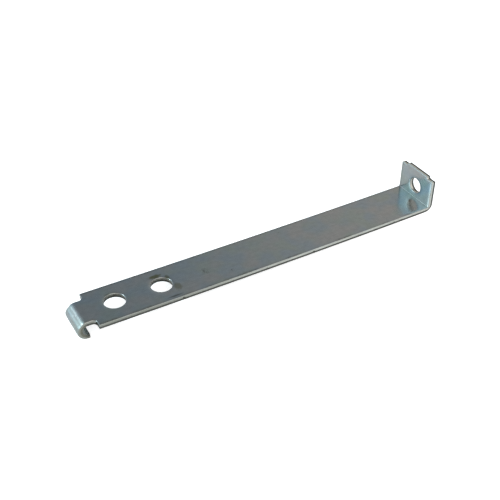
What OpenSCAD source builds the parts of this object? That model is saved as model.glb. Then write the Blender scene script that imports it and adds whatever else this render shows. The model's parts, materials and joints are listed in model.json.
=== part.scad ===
// Footed bracket: a punched strip with a curled hook at one end and an upright fixing tab at the other.
// Origin: midway between the two bolt holes, on the underside of the strap.
// +X runs along the strap to the tab, +Y across the strip, +Z up the tab.

/* [Sheet] */
// Thickness of the sheet
sheet_t = 2.5; // [1.5:0.1:3.5]
// Width of the strap and of the tab
strap_w = 25; // [21:0.5:40]
// Radius that the punch leaves on the edges of the side it enters
edge_roll = 0.5; // [0.2:0.05:0.7]

/* [Strap] */
// Flat length from the shoulders at the hook to the inner face of the tab
strap_len = 187; // [80:1:400]
// Distance from the shoulders to the centre of the first bolt hole
hole_setback = 12.6; // [8:0.1:25]
// Distance between the centres of the two bolt holes
hole_pitch = 23.8; // [16:0.1:40]
// Diameter of the bolt holes
hole_d = 10.5; // [5:0.1:13]

/* [Hook] */
// Width of the tongue that curls into the hook
tongue_w = 16; // [8:0.1:19.5]
// Flat length of the tongue between the shoulders and its curl
tongue_flat = 4.1; // [2.8:0.1:12]
// Radius of the notch at each side of the tongue's root
notch_r = 2; // [0.8:0.1:2.2]
// Inner radius of the curl
hook_r = 2.5; // [1.2:0.1:8]
// Angle that the tongue turns through
hook_turn = 180; // [90:1:180]
// Straight lip beyond the curl
lip_len = 0.8; // [0.6:0.1:3]

/* [Tab] */
// Height of the tab's shoulders above the strap
tab_h = 15.4; // [12.6:0.1:40]
// Inner radius of the bend under the tab
tab_bend_r = 1.2; // [0.8:0.1:2]
// Width of the stub in the middle of the tab's top edge
stub_w = 16; // [8:0.1:19.5]
// Height of the stub above the shoulders
stub_h = 1.2; // [0.6:0.1:4]
// Radius at the foot of the stub, no larger than the stub is high
stub_r = 1; // [0.2:0.1:4]
// Diameter of the fixing hole in the tab
tab_hole_d = 8.4; // [4:0.1:10]
// Height of the fixing hole's centre above the strap
tab_hole_h = 6.9; // [6.2:0.1:9.5]

/* [Hidden] */
$fn = 96;
half_turn = 180;
quarter_turn = 90;
// How far a cutter reaches past the metal
past = 1;
shoulder_x = -hole_pitch / 2 - hole_setback;
tab_x = shoulder_x + strap_len;
curl_x = shoulder_x - tongue_flat;
bend_x = tab_x - tab_bend_r;
bend_z = sheet_t + tab_bend_r;
upright_h = tab_h - tab_bend_r;
stub_root_r = min(stub_r, stub_h);

// Section across the strip: width along X, thickness along Y, and the rolled corners at the top
module sheet_section(w) {
    difference() {
        translate([-w / 2, 0]) square([w, sheet_t]);
        for (side = [0, 1])
            mirror([side, 0]) translate([w / 2 - edge_roll, sheet_t - edge_roll]) corner_waste(edge_roll);
    }
}

// What a rounded corner takes off a square one
module corner_waste(r) {
    difference() {
        square(r + past);
        circle(r);
    }
}

// Straight stretch of strip along +X, rolled edges up
module straight(w, length) {
    rotate([quarter_turn, 0, quarter_turn]) linear_extrude(length) sheet_section(w);
}

// Stretch of strip bent round the Y axis, from the +X side up towards +Z
module bent(w, r_inner, turn, rolled_outside) {
    rotate([quarter_turn, 0, 0])
        rotate_extrude(angle = turn)
            translate([rolled_outside ? r_inner : r_inner + sheet_t, 0])
                rotate(rolled_outside ? -quarter_turn : quarter_turn) sheet_section(w);
}

// Half section of the punch: a straight shank, and the rolled rim it leaves where it goes in
module punch_section(reach) {
    translate([0, -past]) square([reach, sheet_t + 2 * past]);
    difference() {
        translate([0, sheet_t - edge_roll]) square([reach + edge_roll, edge_roll + past]);
        translate([reach + edge_roll, sheet_t - edge_roll]) circle(edge_roll);
    }
}

// Round punch, for the holes and the corners of the notches
module round_punch(d) {
    rotate_extrude() punch_section(d / 2);
}

// Straight shear whose edge lies on the Y axis and which takes away the +X side
module shear(length, reach) {
    translate([reach, length, 0])
        mirror([1, 0, 0]) rotate([quarter_turn, 0, 0]) linear_extrude(length) punch_section(reach);
}

// Corner punch that takes away the quarter beyond +X and +Y and leaves a round inner corner
module corner_punch(r, reach_x, reach_y) {
    translate([0, r, 0]) shear(reach_y, reach_x);
    mirror([1, -1, 0]) translate([0, r, 0]) shear(reach_x, reach_y);
    translate([r, r, 0]) round_punch(2 * r);
}

// Flat strap with its two bolt holes, its shoulders and the flat part of the tongue
module strap() {
    notch_deep = strap_w / 2 - tongue_w / 2 + past;
    difference() {
        translate([curl_x, 0, 0]) straight(strap_w, bend_x - curl_x);
        for (side = [0, 1])
            mirror([0, side, 0])
                translate([shoulder_x, tongue_w / 2, 0])
                    mirror([1, 0, 0]) corner_punch(notch_r, tongue_flat + past, notch_deep);
        for (side = [-1, 1])
            translate([side * hole_pitch / 2, 0, 0]) round_punch(hole_d);
    }
}

// Tongue curled down and back under the strap, with its short lip
module hook() {
    translate([curl_x, 0, -hook_r]) {
        rotate([0, -quarter_turn, 0]) bent(tongue_w, hook_r, hook_turn, true);
        rotate([0, -hook_turn, 0])
            translate([-lip_len, 0, hook_r]) difference() {
                straight(tongue_w, lip_len);
                translate([0, tongue_w / 2 + past, 0]) rotate(half_turn) shear(tongue_w + 2 * past, past);
            }
    }
}

// Upright tab: bend, plate with shoulders and a short stub, and the fixing hole
module tab() {
    notch_deep = strap_w / 2 - stub_w / 2 + past;
    translate([bend_x, 0, bend_z]) rotate([0, quarter_turn, 0]) bent(strap_w, tab_bend_r, quarter_turn, false);
    translate([tab_x + sheet_t, 0, bend_z]) rotate([0, -quarter_turn, 0]) difference() {
        straight(strap_w, upright_h + stub_h);
        for (side = [0, 1])
            mirror([0, side, 0])
                translate([upright_h, stub_w / 2, 0]) corner_punch(stub_root_r, stub_h + past, notch_deep);
        translate([upright_h + stub_h, -stub_w / 2 - past, 0]) shear(stub_w + 2 * past, past);
        translate([tab_hole_h - tab_bend_r, 0, 0]) round_punch(tab_hole_d);
    }
}

// The whole bracket, one folded strip
module bracket() {
    color("lightslategray") {
        strap();
        hook();
        tab();
    }
}

bracket();
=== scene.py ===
import json
import math

import bpy
import numpy as np
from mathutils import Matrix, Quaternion, Vector, noise
from mathutils.geometry import delaunay_2d_cdt


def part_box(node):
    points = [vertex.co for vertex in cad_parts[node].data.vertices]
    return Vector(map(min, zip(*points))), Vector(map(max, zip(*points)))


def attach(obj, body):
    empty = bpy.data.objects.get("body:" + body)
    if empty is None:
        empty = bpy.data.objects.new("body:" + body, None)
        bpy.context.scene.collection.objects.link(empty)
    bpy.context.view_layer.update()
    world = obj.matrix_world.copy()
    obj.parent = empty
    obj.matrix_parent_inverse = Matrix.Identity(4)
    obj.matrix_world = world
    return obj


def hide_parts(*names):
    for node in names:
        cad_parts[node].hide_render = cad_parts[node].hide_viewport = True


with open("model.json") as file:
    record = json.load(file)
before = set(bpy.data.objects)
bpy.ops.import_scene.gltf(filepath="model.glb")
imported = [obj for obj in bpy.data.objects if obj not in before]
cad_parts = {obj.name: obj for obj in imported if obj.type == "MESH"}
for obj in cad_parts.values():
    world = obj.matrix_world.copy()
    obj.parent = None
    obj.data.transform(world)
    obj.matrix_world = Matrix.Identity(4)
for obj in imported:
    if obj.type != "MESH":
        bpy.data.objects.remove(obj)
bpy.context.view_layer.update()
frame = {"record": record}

# Units
MM = 0.001
WHITE = (1.0, 1.0, 1.0, 1.0)

# Sizes that the frame gives
LOW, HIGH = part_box("bracket")
MOUNTS = {m["name"]: m for m in frame["record"]["mounts"]}
THROAT = MOUNTS["hook_throat"]
STRAP_HOLES = [MOUNTS["hook_side_hole"], MOUNTS["tab_side_hole"]]
TAB_HOLE = MOUNTS["tab_hole"]
HOOK_R = THROAT["dims"]["r_mm"] * MM
TONGUE_W = THROAT["dims"]["length_mm"] * MM
CURL_X = THROAT["pos_m"][0]
SHEET_T = -LOW.z - 2 * HOOK_R
STRAP_W = HIGH.y - LOW.y
TAB_BACK_X = HIGH.x
TAB_TOP_Z = HIGH.z

# Sizes of the blank and of its bends
MIDDLE = SHEET_T / 2
LIP_LEN = 0.8 * MM
SETBACK = 12.6 * MM
NOTCH_R = 2 * MM
BEND_R = 1.2 * MM
STUB_W = 16 * MM
STUB_H = 1.2 * MM
STUB_FOOT_R = 0.8 * MM
CORNER_R = 0.3 * MM
BOW = 0.56 * MM

# Form of a cut edge: the face droops towards it, its rim is rolled, a band is burnished and the rest is torn
DROOP = 0.15 * MM
DROOP_REACH = 2.0 * MM
DROOP_ROWS = [0.6 * MM, 0.85 * MM, 1.15 * MM, 1.5 * MM, 1.9 * MM]
ROLL = 0.3 * MM
ROLL_STEPS = 7
FLAT_INSET = ROLL + 0.05 * MM
TORN_FROM = 1.1 * MM
TORN_SLOPE = 0.04 * MM
TORN_ROUGH = 0.04 * MM
TORN_STEPS = 8
TORN_WAVE = 0.25 * MM
FOOT_R = 0.06 * MM

# Form of the bends: a sharp crease inside the tab's bend, and edges that swell where the metal is squeezed
CREASE_POWER = 10
CREASE_REACH = 3
SWELL = 0.15 * MM

# Spacing of the mesh
CUT_STEP = 0.45 * MM
FACE_STEP = 1.1 * MM
BEND_STEP = math.radians(5)
HOLE_SIDES = 96
CORNER_STEPS = 4
FILLET_STEPS = 12
WELD = 1e-7


# The strip's middle line, from the hook's lip to the top of the tab

STRAP_END = TAB_BACK_X - SHEET_T - BEND_R
BEND_TOP = SHEET_T + BEND_R
SPINE = [
    (LIP_LEN, 0.0),
    (math.pi * (HOOK_R + MIDDLE), -math.pi),
    (STRAP_END - CURL_X, 0.0),
    (math.pi / 2 * (BEND_R + MIDDLE), math.pi / 2),
    (TAB_TOP_Z - BEND_TOP, 0.0),
]
SPINE_ENDS = np.concatenate([[0.0], np.cumsum([length for length, turn in SPINE])])
STRAP_S, BEND_S, TAB_S, END_S = SPINE_ENDS[2:]
SHOULDER_S = STRAP_S + STRAP_HOLES[0]["pos_m"][0] - SETBACK - CURL_X


def strap_s(x):
    """Length along the strip of a place on the flat strap"""
    return STRAP_S + x - CURL_X


def spine(s):
    """Places and headings of the middle line at the lengths s"""
    x, z, heading = CURL_X + LIP_LEN, -2 * HOOK_R - MIDDLE, math.pi
    place = np.zeros((len(s), 2))
    angle = np.zeros(len(s))
    for start, (length, turn) in zip(SPINE_ENDS, SPINE):
        here = s >= start - WELD
        along = np.append(s[here] - start, length)
        turned = heading + turn * along / length
        if turn:
            radius = length / turn
            xs = x + radius * (np.sin(turned) - math.sin(heading))
            zs = z - radius * (np.cos(turned) - math.cos(heading))
        else:
            xs = x + along * math.cos(heading)
            zs = z + along * math.sin(heading)
        place[here] = np.stack([xs[:-1], zs[:-1]], 1)
        angle[here] = turned[:-1]
        x, z, heading = xs[-1], zs[-1], turned[-1]
    return place, angle


def fold(blank):
    """Points of the folded strip for points of the blank: length, side and height above the underside"""
    place, angle = spine(blank[:, 0])
    rise = creased(blank, angle) - MIDDLE
    x = place[:, 0] - rise * np.sin(angle)
    z = place[:, 1] + rise * np.cos(angle)
    return np.stack([x, swollen(blank, angle), z + bow(x)], 1)


def creased(blank, angle):
    """Heights that bring the inside of the tab's bend nearer to a sharp corner"""
    height = blank[:, 2]
    turned = np.clip(angle, 0, math.pi / 2)
    sharp = (np.cos(turned) ** CREASE_POWER + np.sin(turned) ** CREASE_POWER) ** (-1 / CREASE_POWER)
    radius = BEND_R + SHEET_T - height
    return height - radius * (sharp - 1) * (height / SHEET_T) ** CREASE_REACH


def swollen(blank, angle):
    """Sides of the blank, pushed out on the squeezed side of a bend and drawn in on the stretched one"""
    side = blank[:, 1]
    squeeze = np.sin(np.clip(angle, 0, math.pi / 2) * 2) - np.sin(np.clip(angle, -math.pi, 0) * -1)
    half = np.where(angle < 0, TONGUE_W / 2, STRAP_W / 2)
    edge = np.clip((np.abs(side) / half - 0.8) / 0.2, 0, 1) ** 2
    return side + np.sign(side) * SWELL * squeeze * (blank[:, 2] - MIDDLE) / MIDDLE * edge


def bow(x):
    """The strap's faint upward curve, which keeps its mean height"""
    first = strap_x(SHOULDER_S)
    half = (TAB_BACK_X - SHEET_T - first) / 2
    across = (x - first - half) / half
    return BOW * (across**2 - 0.5)


def strap_x(s):
    """Place on the flat strap of a length along the strip"""
    return CURL_X + s - STRAP_S


# Outline of the blank


def stations(flat_step):
    """Lengths along the strip with a row of points: even on the flats and by angle in the bends"""
    rows = []
    for start, (length, turn) in zip(SPINE_ENDS, SPINE):
        count = abs(turn) / BEND_STEP if turn else length / flat_step
        rows.append(np.linspace(start, start + length, max(1, round(count)) + 1)[:-1])
    return np.concatenate([*rows, [END_S]])


class Cut:
    """A closed cut line, each point with its outward normal and, at outer corners, its mitre and radius"""

    def __init__(self):
        self.points, self.normals, self.mitres, self.limits = [], [], [], []

    def add(self, point, normal, mitre=(0, 0), limit=math.inf):
        self.points.append(point)
        self.normals.append(normal)
        self.mitres.append(mitre)
        self.limits.append(limit)

    def inset(self, depth):
        """The line moved into the metal, with its outer corners kept sharp once their radius is used up"""
        normals, mitres = np.array(self.normals), np.array(self.mitres)
        limits = np.array(self.limits)[:, None]
        near = np.minimum(depth, limits)
        far = np.maximum(depth - limits, 0)
        return np.array(self.points) - near * normals - far * mitres


def blank_corners():
    """Corners of the blank's outline, anticlockwise, as length, side and radius"""
    tongue, strap, stub = TONGUE_W / 2, STRAP_W / 2, STUB_W / 2
    shoulder_top = END_S - STUB_H
    near = [
        (0, -tongue, CORNER_R),
        (SHOULDER_S, -tongue, NOTCH_R),
        (SHOULDER_S, -strap, CORNER_R),
        (shoulder_top, -strap, CORNER_R),
        (shoulder_top, -stub, STUB_FOOT_R),
        (END_S, -stub, CORNER_R),
    ]
    return near + [(s, -y, r) for s, y, r in reversed(near)]


def outline():
    """The blank's outline with its corners rounded"""
    cut = Cut()
    corners = [(Vector((s, y)), r) for s, y, r in blank_corners()]
    rows = stations(CUT_STEP)
    for i, (corner, radius) in enumerate(corners):
        before, after = corners[i - 1][0], corners[(i + 1) % len(corners)][0]
        come, go = (corner - before).normalized(), (after - corner).normalized()
        outer = come.cross(go) > 0
        add_corner(cut, corner, come, go, radius, outer)
        following, next_radius = corners[(i + 1) % len(corners)]
        start = corner + go * radius
        add_straight(cut, start, following - go * next_radius, go, rows)
    return cut


def right_of(way):
    """Unit vector to the right of a direction of travel, which is out of the metal"""
    return Vector((way.y, -way.x))


def add_corner(cut, corner, come, go, radius, outer):
    """A corner as an arc between two straight edges"""
    start, end = right_of(come), right_of(go)
    mitre = (start + end) if outer else Vector((0, 0))
    centre = corner - come * radius + (-start if outer else start) * radius
    steps = CORNER_STEPS if outer else FILLET_STEPS
    for k in range(steps + 1):
        part = k / steps * math.pi / 2
        normal = start * math.cos(part) + end * math.sin(part)
        point = centre + (normal if outer else -normal) * radius
        cut.add(point, normal, mitre, radius if outer else math.inf)


def add_straight(cut, start, end, way, rows):
    """Points between two corners: on the rows along the strip, and evenly across it"""
    length = (end - start).length
    if abs(way.x) > 0.5:
        places = sorted((s - start.x) * way.x for s in rows)
    else:
        count = max(1, round(length / CUT_STEP))
        places = [length * k / count for k in range(1, count)]
    clear = min(FLAT_INSET, length / 3)
    for p in places:
        if clear < p < length - clear:
            cut.add(start + way * p, right_of(way))


def hole(s, y, radius):
    """A round hole, clockwise, so that the metal is to its left"""
    cut = Cut()
    for k in range(HOLE_SIDES):
        part = -2 * math.pi * k / HOLE_SIDES
        out = Vector((math.cos(part), math.sin(part)))
        cut.add(Vector((s, y)) + out * radius, -out)
    return cut


def tab_hole_s():
    """Length along the strip of the tab's hole"""
    return TAB_S + TAB_HOLE["pos_m"][2] - BEND_TOP


def round_holes():
    """Length along the strip and radius of each hole"""
    strap = [(strap_s(m["pos_m"][0]), m["dims"]["r_mm"] * MM) for m in STRAP_HOLES]
    return strap + [(tab_hole_s(), TAB_HOLE["dims"]["r_mm"] * MM)]


# Faces of the blank


def droop(depth):
    """How far the top face lies below the flat at a distance from a cut line"""
    return DROOP * np.clip(1 - depth / DROOP_REACH, 0, 1) ** 2


def profile():
    """A cut edge from the top face to the underside, as inset, height, share of roll, burnish and tear"""
    rows = [(FLAT_INSET, SHEET_T - droop(FLAT_INSET), 0, 0, 0)]
    for k in range(ROLL_STEPS + 1):
        part = k / ROLL_STEPS * math.pi / 2
        depth, drop = ROLL * (1 - math.sin(part)), ROLL * (1 - math.cos(part))
        rows.append((depth, SHEET_T - drop - droop(depth), min(1, 1.5 * k / ROLL_STEPS), 0, 0))
    rows.append((0, SHEET_T - ROLL - DROOP - 0.05 * MM, 0, 1, 0))
    rows.append((0, TORN_FROM + 0.1 * MM, 0, 1, 0))
    for k in range(TORN_STEPS + 1):
        part = k / TORN_STEPS
        rows.append((TORN_SLOPE * part, TORN_FROM + (FOOT_R - TORN_FROM) * part, 0, 0, 1))
    rows.append((TORN_SLOPE + FOOT_R / 3, FOOT_R / 4, 0, 0, 0.5))
    rows.append((TORN_SLOPE + FOOT_R, 0, 0, 0, 0))
    rows.append((FLAT_INSET, 0, 0, 0, 0))
    return rows


def grain(point, size):
    """Smooth noise from -1 to 1 at a place of the blank"""
    return noise.noise(Vector(point) / size)


def tear(cut, depth, height, torn):
    """One row of a cut edge, waved and roughened where the metal tore"""
    rough = TORN_ROUGH * min(1, torn * 2) * (1 if 0 < depth < FLAT_INSET else 0)
    line = cut.inset(depth)
    base = cut.inset(0)
    row = []
    for (s, y), (s0, y0), normal in zip(line, base, cut.normals):
        wave = TORN_WAVE * grain((s0, y0, 0), 2.5 * MM) if torn == 1 else 0
        share = (height - FOOT_R) / TORN_FROM
        dent = rough * (1 + grain((s0, y0, height), 0.5 * MM)) / 2
        row.append((s - dent * normal[0], y - dent * normal[1], height + wave * share))
    return np.array(row)


class Sheet:
    """Points of the blank with their marks, and the faces between them"""

    def __init__(self):
        self.points, self.marks, self.faces, self.count = [], [], [], 0

    def add(self, points, mark):
        """Adds a row of points that share a mark, and gives their numbers"""
        self.points.append(points)
        self.marks.append(np.tile(mark, (len(points), 1)))
        numbers = np.arange(self.count, self.count + len(points))
        self.count += len(points)
        return numbers

    def add_cut(self, cut):
        """The whole height of one cut line"""
        upper = None
        for depth, height, *mark in profile():
            lower = self.add(tear(cut, depth, height, mark[2]), mark)
            if upper is not None:
                for i in range(len(lower)):
                    j = (i + 1) % len(lower)
                    self.faces.append((upper[i], lower[i], lower[j], upper[j]))
            upper = lower

    def add_plane(self, flat, triangles, height, upward):
        """The top face or the underside"""
        points = np.column_stack([flat, height])
        first = self.add(points, (0, 0, 0))[0]
        for a, b, c in triangles:
            corners = (a, b, c) if upward else (a, c, b)
            self.faces.append(tuple(first + k for k in corners))

    def welded(self):
        """Points, marks and faces with the points that lie together made one"""
        points = np.concatenate(self.points)
        marks = np.concatenate(self.marks)
        keys = np.round(points / WELD).astype(np.int64)
        _, keep, new = np.unique(keys, axis=0, return_index=True, return_inverse=True)
        new = new.ravel()
        faces = []
        for face in self.faces:
            ring = [new[k] for k in face]
            ring = [k for i, k in enumerate(ring) if k != ring[i - 1]]
            if len(set(ring)) > 2:
                faces.append(ring)
        return points[keep], marks[keep], faces


def gaps(points, cuts):
    """Distance of each point from the nearest cut line"""
    rings = [cut.inset(0) for cut in cuts]
    start = np.concatenate(rings)
    way = np.concatenate([np.roll(ring, -1, axis=0) - ring for ring in rings])
    size = (way**2).sum(1)
    found = []
    for part in np.array_split(points, len(points) // 400 + 1):
        offset = part[:, None] - start
        along = np.clip((offset * way).sum(2) / size, 0, 1)
        found.append(np.linalg.norm(offset - along[..., None] * way, axis=2).min(1))
    return np.concatenate(found)


def on_metal(points):
    """Which points lie on the blank, with its notches and holes left out"""
    s, y = points.T
    tongue, stub = s < SHOULDER_S, s > END_S - STUB_H
    half = np.where(tongue, TONGUE_W / 2, np.where(stub, STUB_W / 2, STRAP_W / 2))
    inside = (np.abs(y) < half) & (s > 0) & (s < END_S)
    for middle, radius in round_holes():
        inside &= np.hypot(s - middle, y) > radius
    return inside


def face_points(cuts):
    """Points of the flat faces: rows along the cut lines where the face droops, and a grid elsewhere"""
    half = STRAP_W / 2
    sides = np.linspace(-half, half, round(STRAP_W / FACE_STEP) + 1)
    grid = np.array([(s, y) for s in stations(FACE_STEP) for y in sides])
    grid = grid[on_metal(grid)]
    kept = [grid[gaps(grid, cuts) > DROOP_ROWS[-1] + FACE_STEP / 3]]
    for depth in DROOP_ROWS:
        row = np.concatenate([distinct(cut.inset(depth)) for cut in cuts])
        row = row[on_metal(row)]
        kept.append(row[gaps(row, cuts) > depth * 0.98])
    return np.concatenate(kept)


def triangulate(rings, inner):
    """Points and triangles of the flat face inside the first ring and outside the others, which are holes"""
    parts = [*rings, inner]
    flat = np.concatenate(parts)
    hole_of = np.repeat([0, *range(1, len(rings)), 0], [len(part) for part in parts])
    edges = []
    count = 0
    for ring in rings:
        size = len(ring)
        edges += [(count + i, count + (i + 1) % size) for i in range(size)]
        count += size
    inner_triangles = 1
    made = delaunay_2d_cdt([Vector(p / MM) for p in flat], edges, [], inner_triangles, 1e-6)
    source = np.array([numbers[0] for numbers in made[3]])
    triangles = np.array(made[2])
    holes = hole_of[source[triangles]]
    in_hole = (holes[:, 0] > 0) & (holes == holes[:, :1]).all(1)
    return flat[source], triangles[~in_hole]


def distinct(ring):
    """A closed row without its repeated points"""
    return np.array([p for i, p in enumerate(ring) if np.abs(p - ring[i - 1]).max() > WELD])


def strip_sheet():
    """The whole blank, as welded points, marks and faces"""
    cuts = [outline()] + [hole(s, 0, r) for s, r in round_holes()]
    sheet = Sheet()
    for cut in cuts:
        sheet.add_cut(cut)
    rings = [distinct(cut.inset(FLAT_INSET)) for cut in cuts]
    flat, triangles = triangulate(rings, face_points(cuts))
    gap = gaps(flat, cuts)
    top = SHEET_T - droop(np.where(gap < FLAT_INSET + WELD, FLAT_INSET, gap))
    sheet.add_plane(flat, triangles, top, True)
    sheet.add_plane(flat, triangles, np.zeros(len(flat)), False)
    return sheet.welded()


def bracket_strip():
    """The folded strip as an object, with its blank coordinates and edge marks kept for the finish"""
    points, marks, faces = strip_sheet()
    mesh = bpy.data.meshes.new("bracket_strip")
    mesh.from_pydata(fold(points).tolist(), [], faces)
    for name, values in (("blank", points), ("cut", marks)):
        layer = mesh.attributes.new(name, "FLOAT_VECTOR", "POINT")
        layer.data.foreach_set("vector", values.astype(np.float32).ravel())
    mesh.polygons.foreach_set("use_smooth", [True] * len(mesh.polygons))
    mesh.validate()
    piece = bpy.data.objects.new("bracket_strip", mesh)
    bpy.context.scene.collection.objects.link(piece)
    return piece


# Node helpers


class Nodes:
    """Short ways to make and link shader nodes"""

    def __init__(self, tree):
        self.tree = tree
        self.tree.nodes.clear()

    def add(self, kind, **settings):
        node = self.tree.nodes.new(kind)
        for name, value in settings.items():
            setattr(node, name, value)
        return node

    def put(self, socket, value):
        if isinstance(value, bpy.types.NodeSocket):
            self.tree.links.new(value, socket)
        else:
            socket.default_value = value

    def math(self, operation, a, b=0.0, clamp=False):
        node = self.add("ShaderNodeMath", operation=operation, use_clamp=clamp)
        self.put(node.inputs[0], a)
        self.put(node.inputs[1], b)
        return node.outputs[0]

    def vector(self, operation, a, b):
        node = self.add("ShaderNodeVectorMath", operation=operation)
        self.put(node.inputs[0], a)
        self.put(node.inputs[1], b)
        return node.outputs[0]

    def parts(self, vector):
        node = self.add("ShaderNodeSeparateXYZ")
        self.put(node.inputs[0], vector)
        return node.outputs[:3]

    def grey(self, value):
        node = self.add("ShaderNodeCombineColor")
        for socket in node.inputs[:3]:
            self.put(socket, value)
        return node.outputs[0]

    def noise(self, place, size, detail=2.0, stretch=(1, 1, 1), rough=0.5):
        node = self.add("ShaderNodeTexNoise", noise_dimensions="3D")
        scale = tuple(1 / (size * k) for k in stretch)
        self.put(node.inputs["Vector"], self.vector("MULTIPLY", place, scale))
        self.put(node.inputs["Scale"], 1.0)
        self.put(node.inputs["Detail"], detail)
        self.put(node.inputs["Roughness"], rough)
        return node.outputs["Fac"]

    def span(self, value, low, high, to_low=0.0, to_high=1.0):
        node = self.add("ShaderNodeMapRange", interpolation_type="SMOOTHSTEP")
        self.put(node.inputs["Value"], value)
        self.put(node.inputs["From Min"], low)
        self.put(node.inputs["From Max"], high)
        self.put(node.inputs["To Min"], to_low)
        self.put(node.inputs["To Max"], to_high)
        return node.outputs["Result"]

    def mix(self, share, a, b, blend="MIX"):
        node = self.add("ShaderNodeMix", data_type="RGBA", blend_type=blend)
        self.put(node.inputs["Factor"], share)
        self.put(node.inputs[6], a)
        self.put(node.inputs[7], b)
        return node.outputs[2]


# Finish

BLUE_ZINC = (0.325, 0.360, 0.385, 1.0)
GREEN_ZINC = (0.345, 0.372, 0.352, 1.0)
WARM_ZINC = (0.375, 0.368, 0.362, 1.0)
OLIVE = (0.120, 0.115, 0.030, 1.0)
# Dark colour used both for real stains and specks and for the painted shade along the strip's edges
GRIME_AND_EDGE_SHADE = (0.060, 0.060, 0.045, 1.0)
# Cut-face colours at the two ends of a painted light gradient: shaded near the hook, lit towards the tab
CUT_IN_PAINTED_SHADE = (0.300, 0.300, 0.265, 1.0)
CUT_IN_PAINTED_LIGHT = (0.640, 0.640, 0.590, 1.0)
# The torn band's own dull tone, darkened further with painted shade along the bottom of the cut faces
TORN_WITH_PAINTED_SHADE = (0.095, 0.095, 0.085, 1.0)
DULL_TORN = (0.210, 0.210, 0.175, 1.0)

# Stains on the strap: place along and across and reach along and across, in millimetres, and strength
OLIVE_STAINS = [(11.5, 6.8, 4.0, 1.6, 0.75), (16.6, 3.6, 1.4, 2.2, 0.6), (18.2, -4.8, 2.4, 3.4, 0.45)]
DARK_STAINS = [(14.4, -10.6, 4.6, 0.7, 0.6), (-13.5, 5.6, 1.8, 0.6, 0.35)]
SPECK_PATCHES = [(34.6, -1.0, 2.4, 2.8, 0.75), (46.6, -7.0, 1.6, 1.2, 0.6), (81.4, 8.6, 1.2, 0.9, 0.6)]


def patch(n, place, x, y, along, across):
    """Mask round one place of the strap, 1 at its middle, with a ragged rim"""
    apart = n.vector("SUBTRACT", place, (strap_s(x * MM), y * MM, SHEET_T))
    scaled = n.vector("MULTIPLY", apart, (1 / (along * MM), 1 / (across * MM), 1 / SHEET_T))
    far = n.add("ShaderNodeVectorMath", operation="LENGTH")
    n.put(far.inputs[0], scaled)
    ragged = n.math("ADD", far.outputs["Value"], n.math("MULTIPLY", n.noise(place, 1.3 * MM, 5.0), 0.9))
    return n.span(ragged, 0.85, 1.5, 1.0, 0.0)


def stained(n, place, colour, stains, tint, broken=None):
    """The colour with a list of stains laid on it, whole or broken up into specks"""
    for x, y, along, across, strength in stains:
        mask = n.math("MULTIPLY", patch(n, place, x, y, along, across), strength)
        if broken is not None:
            mask = n.math("MULTIPLY", mask, broken)
        colour = n.mix(mask, colour, tint)
    return colour


def zinc_tint(n, place):
    """Faint blue, green and warm clouds of the passivated zinc"""
    tint = n.mix(n.span(n.noise(place, 9 * MM, 1.0), 0.35, 0.65), BLUE_ZINC, GREEN_ZINC)
    elsewhere = n.vector("ADD", place, (0.3, 0.1, 0))
    tint = n.mix(n.span(n.noise(elsewhere, 11 * MM, 1.0), 0.4, 0.7), tint, WARM_ZINC)
    cloud = n.noise(place, 2.5 * MM, 4.0)
    streak = n.noise(place, 0.5 * MM, 2.0, stretch=(24, 1, 1))
    shade = n.math("ADD", n.span(cloud, 0.3, 0.7, 0.95, 1.03), n.span(streak, 0.3, 0.7, -0.025, 0.025))
    return n.mix(1.0, tint, n.grey(shade), "MULTIPLY")


def painted_edge_shade(n, place, side):
    """Speckled painted shade along the strip's edges, heavier on the far one: a dark rim line standing in
    for the dark reflections along the rims
    """
    speckle = n.span(n.noise(place, 0.7 * MM, 4.0), 0.42, 0.62)
    far = n.span(side, STRAP_W / 2 - 2.2 * MM, STRAP_W / 2 - 0.3 * MM)
    near = n.span(side, 1.6 * MM - STRAP_W / 2, 0.5 * MM - STRAP_W / 2)
    patchy = n.span(n.noise(place, 14 * MM, 1.0), 0.45, 0.6)
    near = n.math("MULTIPLY", near, patchy)
    mask = n.math("ADD", n.math("MULTIPLY", far, 0.6), n.math("MULTIPLY", near, 0.5))
    return n.math("MULTIPLY", mask, n.math("ADD", n.math("MULTIPLY", speckle, 0.7), 0.3))


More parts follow.
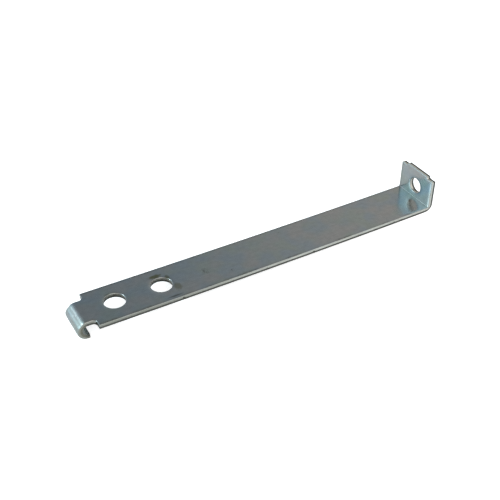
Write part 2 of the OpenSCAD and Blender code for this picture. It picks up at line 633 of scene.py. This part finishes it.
def zinc_steel():
    """Blue-grey zinc plating with stains and speckled painted shade along its edges, duller on the stretched
    curl, and cut edges from dull to bright as painted light rising towards the tab, their torn bands
    darkened with painted shade
    """
    material = bpy.data.materials.new("zinc_steel")
    material.use_nodes = True
    n = Nodes(material.node_tree)
    place = n.add("ShaderNodeAttribute", attribute_name="blank").outputs["Vector"]
    along, side, height = n.parts(place)
    rolled, burnished, torn = n.parts(n.add("ShaderNodeAttribute", attribute_name="cut").outputs["Vector"])
    curl = n.math("MULTIPLY", n.span(along, SPINE_ENDS[1], SPINE_ENDS[1] + 2 * MM),
                  n.span(along, STRAP_S - 2.5 * MM, STRAP_S + 0.5 * MM, 1.0, 0.0))
    face = n.span(height, SHEET_T * 0.7, SHEET_T * 0.9)
    speck = n.noise(place, 0.4 * MM, 3.0)

    colour = zinc_tint(n, place)
    # Painted shade: the top face is darkened along its edges, most on the far edge
    colour = n.mix(n.math("MULTIPLY", painted_edge_shade(n, place, side), face), colour, GRIME_AND_EDGE_SHADE)
    colour = stained(n, place, colour, OLIVE_STAINS, OLIVE)
    colour = stained(n, place, colour, DARK_STAINS, GRIME_AND_EDGE_SHADE)
    colour = stained(n, place, colour, SPECK_PATCHES, GRIME_AND_EDGE_SHADE, n.span(speck, 0.52, 0.6))

    # Painted light: the cut colour, used on the burnished bands and at half strength on the rolled rims,
    # grows lighter towards the tab, broken up by noise
    lit_towards_tab = n.span(along, strap_s(-10 * MM), strap_s(95 * MM))
    lit_towards_tab = n.math("MULTIPLY", lit_towards_tab, n.span(n.noise(place, 7 * MM, 2.0), 0.3, 0.6, 0.7, 1.0))
    cut = n.mix(lit_towards_tab, CUT_IN_PAINTED_SHADE, CUT_IN_PAINTED_LIGHT)
    colour = n.mix(n.math("MULTIPLY", rolled, 0.5), colour, cut)
    colour = n.mix(burnished, colour, cut)
    # Torn band: darkened with painted shade on the strap, the lighter dull tone on the curl
    colour = n.mix(torn, colour, n.mix(curl, TORN_WITH_PAINTED_SHADE, DULL_TORN))

    roughness = n.span(n.noise(place, 3 * MM, 3.0), 0.3, 0.7, 0.17, 0.24)
    roughness = n.math("ADD", roughness, n.math("MULTIPLY", curl, 0.16))
    roughness = n.math("ADD", roughness, n.math("MULTIPLY", torn, 0.25), clamp=True)

    scratches = n.noise(place, 0.12 * MM, 3.0, stretch=(1, 1, 12))
    marks = n.math("MULTIPLY", scratches, n.math("ADD", burnished, torn, clamp=True))
    peel = n.math("MULTIPLY", n.noise(place, 1.1 * MM, 2.0), n.math("MULTIPLY", curl, 3.0))
    waves = n.noise(place, 3 * MM, 2.0)
    relief = n.math("ADD", n.math("MULTIPLY", speck, 0.25), n.math("MULTIPLY", waves, 1.2))
    relief = n.math("ADD", relief, n.math("ADD", marks, peel))
    bump = n.add("ShaderNodeBump")
    n.put(bump.inputs["Strength"], 0.5)
    n.put(bump.inputs["Distance"], 0.02 * MM)
    n.put(bump.inputs["Height"], relief)

    shader = n.add("ShaderNodeBsdfPrincipled")
    n.put(shader.inputs["Metallic"], 1.0)
    n.put(shader.inputs["Base Color"], colour)
    n.put(shader.inputs["Roughness"], roughness)
    n.put(shader.inputs["Normal"], bump.outputs[0])
    out = n.add("ShaderNodeOutputMaterial")
    n.put(out.inputs["Surface"], shader.outputs[0])
    return material


# Studio

FLOOR_REACH = 6.0
FLOOR_COLOUR = (0.85, 0.85, 0.85, 1.0)
FLOOR_GLOW = 0.70
FLOOR_GLOW_IN_METAL = 0.08
WINDOW_WAY = Vector((-0.74, 0.38, 0.56))
SKY_LEFT = (0.50, 0.62, 0.72, 1.0)
SKY_BACK = (0.30, 0.36, 0.40, 1.0)
SKY_RIGHT = (0.60, 0.60, 0.58, 1.0)
SKY_TOP = (0.30, 0.31, 0.31, 1.0)
SKY_FRONT = (1.10, 1.10, 1.08, 1.0)
SKY_GLOW = (1.20, 1.80, 2.00, 1.0)
CAMERA_PLACE = Vector((-109.04, -291.32, 261.25)) * MM
CAMERA_AIM = Vector((63.30, 5.29, 0.0)) * MM
CAMERA_ROLL = math.radians(0.296)
CAMERA_LENS = 61.787


def seen_in_metal(path):
    """The rays that metal or glass sends on"""
    return path.outputs["Is Glossy Ray"], path.outputs["Is Transmission Ray"]


def floor_finish():
    """White floor that keeps the object's shadow"""
    material = bpy.data.materials.new("floor")
    material.use_nodes = True
    n = Nodes(material.node_tree)
    diffuse = n.add("ShaderNodeBsdfDiffuse")
    n.put(diffuse.inputs["Color"], FLOOR_COLOUR)
    glow = n.add("ShaderNodeEmission")
    n.put(glow.inputs["Color"], WHITE)
    path = n.add("ShaderNodeLightPath")
    direct = n.math("MULTIPLY", path.outputs["Is Camera Ray"], FLOOR_GLOW)
    mirrored = n.math("MULTIPLY", n.math("MAXIMUM", *seen_in_metal(path)), FLOOR_GLOW_IN_METAL)
    n.put(glow.inputs["Strength"], n.math("ADD", direct, mirrored))
    both = n.add("ShaderNodeAddShader")
    n.put(both.inputs[0], diffuse.outputs[0])
    n.put(both.inputs[1], glow.outputs[0])
    out = n.add("ShaderNodeOutputMaterial")
    n.put(out.inputs["Surface"], both.outputs[0])
    return material


def make_floor():
    """Floor that touches the underside of the hook and the heel of the tab's bend"""
    hook_foot = Vector((CURL_X, 0, LOW.z + bow(CURL_X)))
    heel = Vector((STRAP_END, 0, bow(STRAP_END)))
    along = (heel - hook_foot).normalized() * FLOOR_REACH
    across = Vector((0, FLOOR_REACH, 0))
    middle = (hook_foot + heel) / 2
    corners = [middle + along * i + across * j for i, j in ((-1, -1), (1, -1), (1, 1), (-1, 1))]
    mesh = bpy.data.meshes.new("floor")
    mesh.from_pydata([tuple(c) for c in corners], [], [(0, 1, 2, 3)])
    mesh.materials.append(floor_finish())
    floor = bpy.data.objects.new("floor", mesh)
    bpy.context.scene.collection.objects.link(floor)


def make_world():
    """Room round the object: white behind it for the camera, and grey, paler in front, for the light"""
    world = bpy.data.worlds.new("studio")
    bpy.context.scene.world = world
    world.use_nodes = True
    n = Nodes(world.node_tree)
    path = n.add("ShaderNodeLightPath")
    way = n.add("ShaderNodeTexCoord").outputs["Generated"]
    right, back, up = n.parts(way)
    room = n.mix(n.span(right, -0.3, 0.15), SKY_LEFT, SKY_BACK)
    room = n.mix(n.span(right, 0.2, 0.6), room, SKY_RIGHT)
    room = n.mix(n.span(up, 0.68, 0.85), room, SKY_TOP)
    room = n.mix(n.span(back, -0.4, 0.0), SKY_FRONT, room)
    near_window = n.add("ShaderNodeVectorMath", operation="DOT_PRODUCT")
    n.put(near_window.inputs[0], way)
    n.put(near_window.inputs[1], tuple(WINDOW_WAY.normalized()))
    room = n.mix(n.span(near_window.outputs["Value"], 0.85, 0.99), room, SKY_GLOW, "ADD")
    metal = n.math("MAXIMUM", *seen_in_metal(path))
    horizon = n.math("MULTIPLY", metal, n.span(up, 0.02, 0.08, 1.0, 0.0))
    sky = n.add("ShaderNodeBackground")
    n.put(sky.inputs["Color"], n.mix(n.math("MAXIMUM", path.outputs["Is Camera Ray"], horizon), room, WHITE))
    n.put(sky.inputs["Strength"], 1.0)
    out = n.add("ShaderNodeOutputWorld")
    n.put(out.inputs["Surface"], sky.outputs[0])


def softbox(name, aim, way, distance, size, radiance, colour):
    """Area lamp of a set radiance that faces the aim from a direction"""
    lamp = bpy.data.lights.new(name, "AREA")
    lamp.shape = "RECTANGLE"
    lamp.size, lamp.size_y = size
    lamp.energy = radiance * math.pi * size[0] * size[1]
    lamp.color = colour
    light = bpy.data.objects.new(name, lamp)
    light.location = aim + Vector(way).normalized() * distance
    light.rotation_euler = Vector(way).to_track_quat("Z", "Y").to_euler()
    bpy.context.scene.collection.objects.link(light)


def make_lamps():
    """A bluish window at the far left and a large soft lamp on the camera's side"""
    middle = Vector(((LOW.x + HIGH.x) / 2, 0, 0))
    softbox("window", middle, WINDOW_WAY, 0.9, (0.30, 0.34), 6.0, (0.85, 0.96, 1.0))
    softbox("fill", middle, (-0.1, -0.75, 0.65), 1.2, (0.8, 0.8), 1.0, (1.0, 1.0, 0.98))


def make_camera():
    """The photograph's viewpoint"""
    lens = bpy.data.cameras.new("camera")
    lens.lens = CAMERA_LENS
    lens.clip_start = 10 * MM
    camera = bpy.data.objects.new("camera", lens)
    camera.location = CAMERA_PLACE
    facing = (CAMERA_AIM - CAMERA_PLACE).to_track_quat("-Z", "Y")
    camera.rotation_mode = "QUATERNION"
    camera.rotation_quaternion = facing @ Quaternion((0, 0, 1), CAMERA_ROLL)
    bpy.context.scene.collection.objects.link(camera)
    bpy.context.scene.camera = camera


make_camera()
piece = bracket_strip()
piece.data.materials.append(zinc_steel())
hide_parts("bracket")
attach(piece, "root")
make_floor()
make_world()
make_lamps()
bpy.context.scene.view_settings.view_transform = "Standard"
